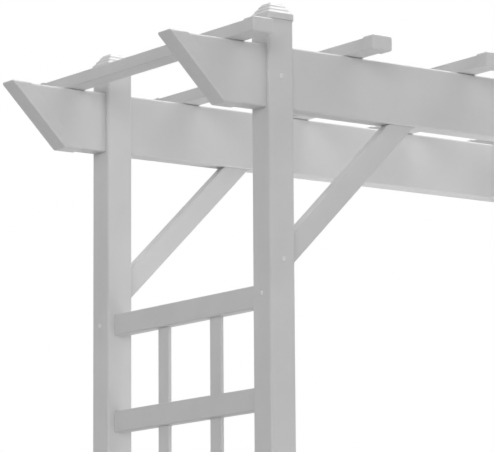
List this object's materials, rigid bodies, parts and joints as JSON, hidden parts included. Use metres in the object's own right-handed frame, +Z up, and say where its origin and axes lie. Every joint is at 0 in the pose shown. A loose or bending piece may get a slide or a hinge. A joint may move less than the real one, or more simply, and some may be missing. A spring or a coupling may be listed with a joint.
{
  "type": "garden arbor",
  "caption": "Free-standing white vinyl garden arbor with mitred beams, roof slats, knee braces and side lattices for climbing plants.",
  "frame": {"origin": "on the ground, midway between the four posts", "axes": "+X along the beams to the right, +Y from the front to the rear through the walkway, +Z up"},
  "size_m": [1.7502, 0.676, 2.138],
  "materials": {
    "extruded_white_vinyl": "satin",
    "moulded_white_vinyl": "satin",
    "white_coated_steel": "satin"
  },
  "bodies": {
    "root": {"front_beam": "extruded_white_vinyl", "front_left_post": "extruded_white_vinyl", "front_left_post_cap": "moulded_white_vinyl", "front_beam_left_cap": "moulded_white_vinyl", "front_left_brace": "extruded_white_vinyl", "front_right_post": "extruded_white_vinyl", "front_right_post_cap": "moulded_white_vinyl", "front_beam_right_cap": "moulded_white_vinyl", "front_right_brace": "extruded_white_vinyl", "rear_beam": "extruded_white_vinyl", "rear_left_post": "extruded_white_vinyl", "rear_left_post_cap": "moulded_white_vinyl", "rear_beam_left_cap": "moulded_white_vinyl", "rear_left_brace": "extruded_white_vinyl", "rear_right_post": "extruded_white_vinyl", "rear_right_post_cap": "moulded_white_vinyl", "rear_beam_right_cap": "moulded_white_vinyl", "rear_right_brace": "extruded_white_vinyl", "slat_1": "extruded_white_vinyl", "slat_1_front_cap": "moulded_white_vinyl", "slat_1_rear_cap": "moulded_white_vinyl", "slat_2": "extruded_white_vinyl", "slat_2_front_cap": "moulded_white_vinyl", "slat_2_rear_cap": "moulded_white_vinyl", "slat_3": "extruded_white_vinyl", "slat_3_front_cap": "moulded_white_vinyl", "slat_3_rear_cap": "moulded_white_vinyl", "slat_4": "extruded_white_vinyl", "slat_4_front_cap": "moulded_white_vinyl", "slat_4_rear_cap": "moulded_white_vinyl", "slat_5": "extruded_white_vinyl", "slat_5_front_cap": "moulded_white_vinyl", "slat_5_rear_cap": "moulded_white_vinyl", "slat_6": "extruded_white_vinyl", "slat_6_front_cap": "moulded_white_vinyl", "slat_6_rear_cap": "moulded_white_vinyl", "slat_7": "extruded_white_vinyl", "slat_7_front_cap": "moulded_white_vinyl", "slat_7_rear_cap": "moulded_white_vinyl", "left_rail_1": "extruded_white_vinyl", "left_rail_2": "extruded_white_vinyl", "left_rail_3": "extruded_white_vinyl", "left_rail_4": "extruded_white_vinyl", "left_rail_5": "extruded_white_vinyl", "left_rail_6": "extruded_white_vinyl", "left_rail_7": "extruded_white_vinyl", "left_rail_8": "extruded_white_vinyl", "left_front_baluster": "extruded_white_vinyl", "left_rear_baluster": "extruded_white_vinyl", "right_rail_1": "extruded_white_vinyl", "right_rail_2": "extruded_white_vinyl", "right_rail_3": "extruded_white_vinyl", "right_rail_4": "extruded_white_vinyl", "right_rail_5": "extruded_white_vinyl", "right_rail_6": "extruded_white_vinyl", "right_rail_7": "extruded_white_vinyl", "right_rail_8": "extruded_white_vinyl", "right_front_baluster": "extruded_white_vinyl", "right_rear_baluster": "extruded_white_vinyl", "screws": "white_coated_steel"}
  },
  "joints": []
}
